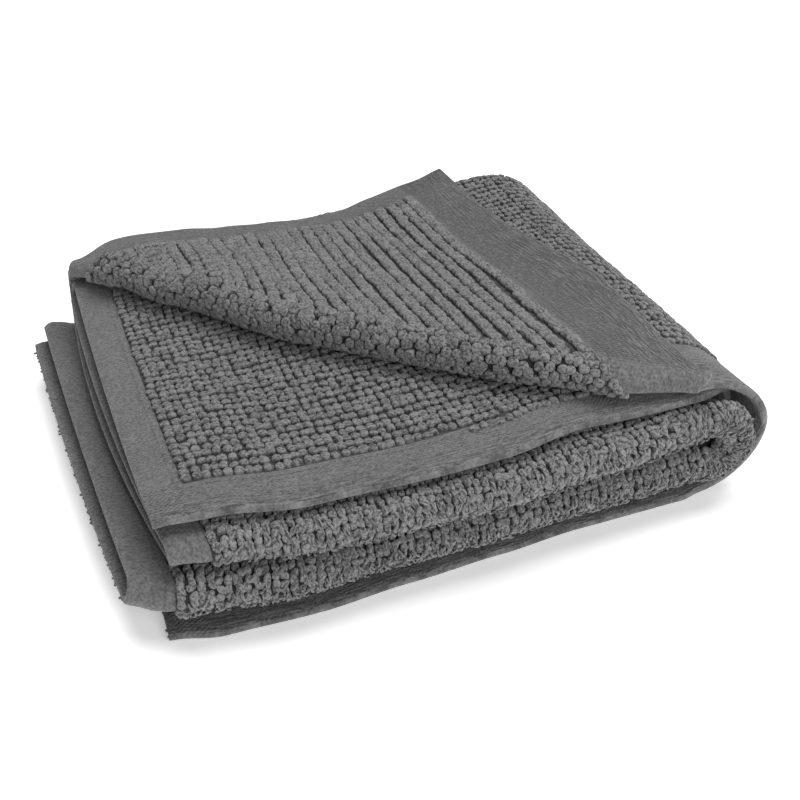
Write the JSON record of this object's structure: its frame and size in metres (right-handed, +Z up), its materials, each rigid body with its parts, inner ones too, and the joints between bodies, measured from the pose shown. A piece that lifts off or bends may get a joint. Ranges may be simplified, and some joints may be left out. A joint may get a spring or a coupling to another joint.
{
  "type": "folded bath towel",
  "caption": "Thick ribbed terry towel with smooth flat hems, folded into a neat stack with its top corner turned back over the pile.",
  "frame": {"origin": "centre of the bounding box at the bottom face, on the surface the towel lies on", "axes": "+X along the long side of the stack, from the open hem ends to the round end fold; +Y from the front folds to the back folds; +Z up"},
  "size_m": [0.2522, 0.2256, 0.0681],
  "materials": {
    "terry": "matt mid-grey cotton, looped pile with flat woven hems"
  },
  "bodies": {
    "root": {"towel": "terry"}
  },
  "joints": []
}
